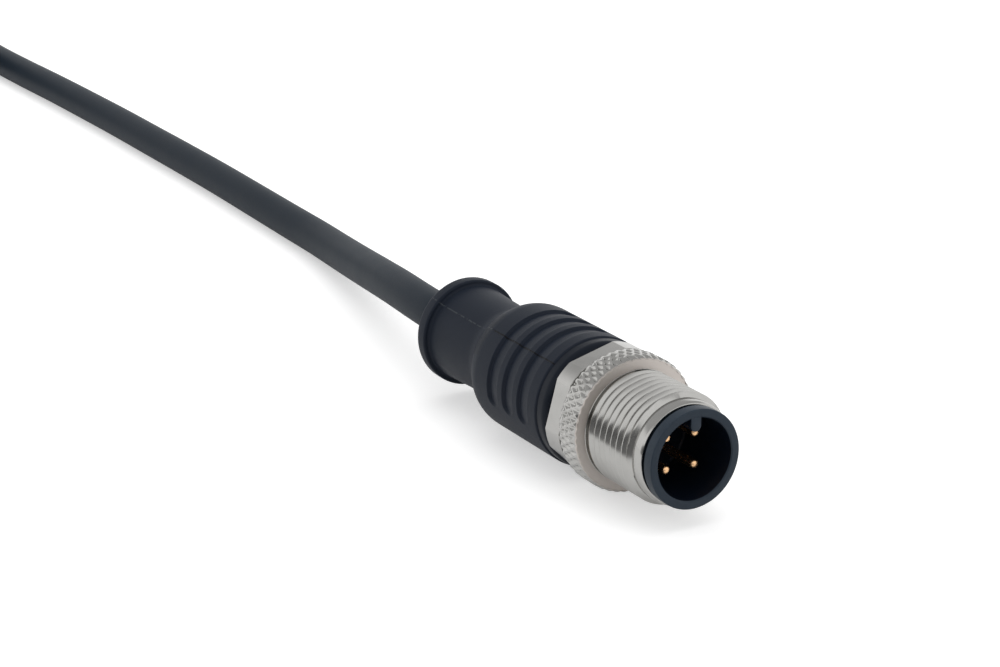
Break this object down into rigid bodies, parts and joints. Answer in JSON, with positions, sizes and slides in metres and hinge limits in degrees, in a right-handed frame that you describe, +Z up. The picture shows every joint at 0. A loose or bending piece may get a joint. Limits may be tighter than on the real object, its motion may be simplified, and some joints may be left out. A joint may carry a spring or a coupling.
{
  "type": "m12 connector",
  "caption": "M12 circular sensor plug with gold contact pins, knurled nickel-plated coupling screw, black grooved moulded grip and black cable with coloured leads",
  "frame": {"origin": "under the middle of the plug's length, on the surface that the knurled coupling screw lies on (bottom centre of the box round the plug, without the free cable)", "axes": "+X is the mating direction (contacts face +X, the cable leaves along -X), +Z is up through the coding rib, +Y to the left seen from behind the plug"},
  "size_m": [0.3514, 0.0424, 0.019],
  "materials": {
    "carrier": "moulded, fine satin",
    "gold": "gold-plated, bright",
    "nickel": "nickel-plated brass, turned and satin",
    "inner_mould": "moulded, glossy",
    "grip": "moulded polyurethane, satin",
    "jacket": "extruded polyurethane, satin",
    "copper": "bare stranded copper",
    "core_brown": "extruded insulation",
    "core_white": "extruded insulation",
    "core_blue": "extruded insulation",
    "core_black": "extruded insulation"
  },
  "bodies": {
    "plug": {"contact_carrier": "carrier", "pin_1": "gold", "pin_2": "gold", "pin_3": "gold", "pin_4": "gold", "inner_mould": "inner_mould", "overmould": "grip", "core_brown": "core_brown", "core_white": "core_white", "core_blue": "core_blue", "core_black": "core_black", "conductor_brown": "copper", "conductor_white": "copper", "conductor_blue": "copper", "conductor_black": "copper", "cable_end": "jacket", "cable_run": "jacket", "cable_coil": "jacket", "cable_tail": "jacket", "lead_brown": "core_brown", "lead_white": "core_white", "lead_blue": "core_blue", "lead_black": "core_black"},
    "screw": {"coupling_screw": "nickel"}
  },
  "joints": [
    {"name": "screw_turn", "type": "hinge", "parent": "plug", "child": "screw", "pos_m": [0.013, 0, 0.00735], "axis": [1, 0, 0], "continuous": true}
  ]
}
